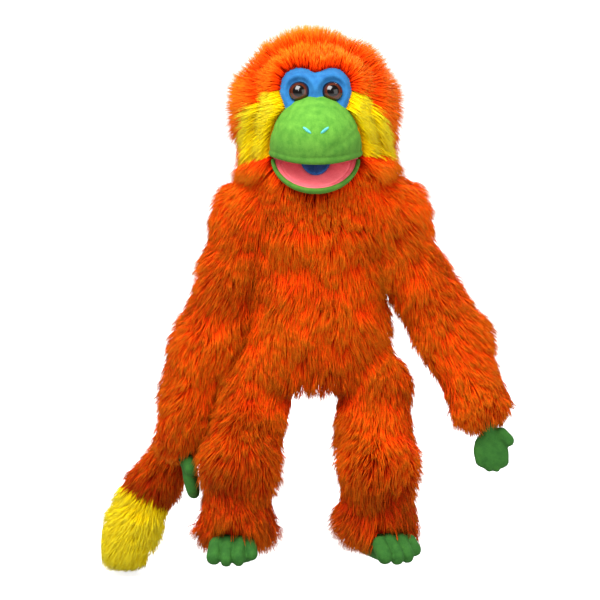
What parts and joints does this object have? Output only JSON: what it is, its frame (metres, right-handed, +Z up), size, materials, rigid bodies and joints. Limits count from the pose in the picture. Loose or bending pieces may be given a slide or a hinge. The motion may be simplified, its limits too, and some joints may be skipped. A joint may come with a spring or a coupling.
{
  "type": "moving mouth puppet",
  "caption": "Long-haired plush monkey hand puppet with a hinged mouth worked from inside, bending arms, legs and tail, and a round hand opening under the body.",
  "frame": {"origin": "centre of the round opening that the hand goes into, at its lower edge", "axes": "+Z up through the body to the head; the face looks along -Y; the puppet's own left is +X"},
  "size_m": [0.463, 0.2024, 0.6068],
  "materials": {
    "orange_fur": "long-pile plush, combed down",
    "yellow_fur": "long-pile plush",
    "blue_plush": "short velour pile",
    "green_plush": "short velour pile",
    "pink_lining": "brushed knit",
    "navy_felt": "felt",
    "satin_thread": "satin-stitched thread",
    "stuffing": "polyester fibre fill",
    "sleeve_lining": "woven lining cloth",
    "mouth_board": "flexible sheet",
    "eye_clear": "clear polished acrylic",
    "eye_brown": "moulded, printed from behind",
    "washer_plastic": "moulded"
  },
  "bodies": {
    "torso": {"body_skin": "orange_fur", "body_stuffing": "stuffing", "hand_sleeve": "sleeve_lining", "sleeve_hem": "sleeve_lining"},
    "neck": {"neck_skin": "orange_fur", "neck_sleeve": "sleeve_lining"},
    "head": {"head_foam": "stuffing", "head_fur_skin": "orange_fur", "left_cheek": "yellow_fur", "right_cheek": "yellow_fur", "eye_mask": "blue_plush", "muzzle_cover": "green_plush", "upper_mouth_board": "mouth_board", "palate_lining": "pink_lining", "finger_pocket": "sleeve_lining", "left_eye_dome": "eye_clear", "right_eye_dome": "eye_clear", "left_eye_back": "eye_brown", "right_eye_back": "eye_brown", "eye_washers": "washer_plastic", "nostril_stitching": "satin_thread", "mouth_hinge_tape": "pink_lining"},
    "jaw": {"chin_cover": "green_plush", "lower_mouth_board": "mouth_board", "mouth_floor_lining": "pink_lining", "tongue": "navy_felt", "thumb_pocket": "sleeve_lining"},
    "tail_seam": {"tail_tab": "sleeve_lining"},
    "tail_base": {"tail_base_skin": "orange_fur", "tail_base_stuffing": "stuffing"},
    "tail_end": {"tail_end_skin": "orange_fur", "tail_tip_skin": "yellow_fur", "tail_end_stuffing": "stuffing"},
    "left_shoulder": {"left_shoulder_tab": "sleeve_lining"},
    "left_upper_arm": {"left_upper_arm_skin": "orange_fur", "left_upper_arm_stuffing": "stuffing"},
    "left_forearm": {"left_forearm_skin": "orange_fur", "left_forearm_stuffing": "stuffing"},
    "left_hand": {"left_hand": "green_plush"},
    "left_hip": {"left_hip_tab": "sleeve_lining"},
    "left_thigh": {"left_thigh_skin": "orange_fur", "left_thigh_stuffing": "stuffing"},
    "left_shin": {"left_shin_skin": "orange_fur", "left_shin_stuffing": "stuffing"},
    "left_foot": {"left_foot_skin": "green_plush", "left_foot_stuffing": "stuffing"},
    "right_shoulder": {"right_shoulder_tab": "sleeve_lining"},
    "right_upper_arm": {"right_upper_arm_skin": "orange_fur", "right_upper_arm_stuffing": "stuffing"},
    "right_forearm": {"right_forearm_skin": "orange_fur", "right_forearm_stuffing": "stuffing"},
    "right_hand": {"right_hand": "green_plush"},
    "right_hip": {"right_hip_tab": "sleeve_lining"},
    "right_thigh": {"right_thigh_skin": "orange_fur", "right_thigh_stuffing": "stuffing"},
    "right_shin": {"right_shin_skin": "orange_fur", "right_shin_stuffing": "stuffing"},
    "right_foot": {"right_foot_skin": "green_plush", "right_foot_stuffing": "stuffing"}
  },
  "joints": [
    {"name": "neck_turn", "type": "hinge", "parent": "torso", "child": "neck", "pos_m": [0, 0, 0.206], "axis": [0, 0, 1], "range_deg": [-35, 35]},
    {"name": "head_nod", "type": "hinge", "parent": "neck", "child": "head", "pos_m": [0, 0, 0.222], "axis": [1, 0, 0], "range_deg": [-20, 18]},
    {"name": "jaw_open", "type": "hinge", "parent": "head", "child": "jaw", "pos_m": [0, -0.044, 0.263], "axis": [1, 0, 0], "range_deg": [-28, 22]},
    {"name": "left_shoulder_swing", "type": "hinge", "parent": "torso", "child": "left_shoulder", "pos_m": [0.082, 0, 0.182], "axis": [1, 0, 0], "range_deg": [-95, 30]},
    {"name": "left_shoulder_raise", "type": "hinge", "parent": "left_shoulder", "child": "left_upper_arm", "pos_m": [0.082, 0, 0.182], "axis": [0, -1, 0], "range_deg": [-5, 75]},
    {"name": "left_elbow", "type": "hinge", "parent": "left_upper_arm", "child": "left_forearm", "pos_m": [0.16, -0.012, 0.05], "axis": [-1, 0, 0], "range_deg": [-12, 80]},
    {"name": "left_wrist", "type": "hinge", "parent": "left_forearm", "child": "left_hand", "pos_m": [0.201, -0.056, -0.044], "axis": [-1, 0, 0], "range_deg": [-35, 40]},
    {"name": "left_hip_swing", "type": "hinge", "parent": "torso", "child": "left_hip", "pos_m": [0.067, -0.012, -0.01], "axis": [1, 0, 0], "range_deg": [-65, 20]},
    {"name": "left_hip_spread", "type": "hinge", "parent": "left_hip", "child": "left_thigh", "pos_m": [0.067, -0.012, -0.01], "axis": [0, -1, 0], "range_deg": [-4, 35]},
    {"name": "left_knee", "type": "hinge", "parent": "left_thigh", "child": "left_shin", "pos_m": [0.071, -0.05, -0.088], "axis": [1, 0, 0], "range_deg": [-30, 50]},
    {"name": "left_ankle", "type": "hinge", "parent": "left_shin", "child": "left_foot", "pos_m": [0.074, -0.038, -0.17], "axis": [1, 0, 0], "range_deg": [-20, 25]},
    {"name": "right_shoulder_swing", "type": "hinge", "parent": "torso", "child": "right_shoulder", "pos_m": [-0.082, 0, 0.182], "axis": [1, 0, 0], "range_deg": [-95, 10]},
    {"name": "right_shoulder_raise", "type": "hinge", "parent": "right_shoulder", "child": "right_upper_arm", "pos_m": [-0.082, 0, 0.182], "axis": [0, 1, 0], "range_deg": [-5, 75]},
    {"name": "right_elbow", "type": "hinge", "parent": "right_upper_arm", "child": "right_forearm", "pos_m": [-0.137, -0.012, 0.038], "axis": [-1, 0, 0], "range_deg": [-12, 80]},
    {"name": "right_wrist", "type": "hinge", "parent": "right_forearm", "child": "right_hand", "pos_m": [-0.15, -0.03, -0.08], "axis": [0, 1, 0], "range_deg": [-35, 40]},
    {"name": "right_hip_swing", "type": "hinge", "parent": "torso", "child": "right_hip", "pos_m": [-0.067, -0.012, -0.01], "axis": [1, 0, 0], "range_deg": [-65, 20]},
    {"name": "right_hip_spread", "type": "hinge", "parent": "right_hip", "child": "right_thigh", "pos_m": [-0.067, -0.012, -0.01], "axis": [0, 1, 0], "range_deg": [-4, 12]},
    {"name": "right_knee", "type": "hinge", "parent": "right_thigh", "child": "right_shin", "pos_m": [-0.088, -0.05, -0.086], "axis": [1, 0, 0], "range_deg": [-30, 50]},
    {"name": "right_ankle", "type": "hinge", "parent": "right_shin", "child": "right_foot", "pos_m": [-0.092, -0.037, -0.172], "axis": [1, 0, 0], "range_deg": [-20, 25]},
    {"name": "tail_swing", "type": "hinge", "parent": "torso", "child": "tail_seam", "pos_m": [-0.012, 0.076, 0.024], "axis": [0, 1, 0], "range_deg": [-50, 60]},
    {"name": "tail_lift", "type": "hinge", "parent": "tail_seam", "child": "tail_base", "pos_m": [-0.012, 0.076, 0.024], "axis": [0.5708, 0, -0.8211], "range_deg": [-6, 60]},
    {"name": "tail_curl", "type": "hinge", "parent": "tail_base", "child": "tail_end", "pos_m": [-0.142, 0.066, -0.066], "axis": [0, 1, 0], "range_deg": [-45, 45]}
  ]
}
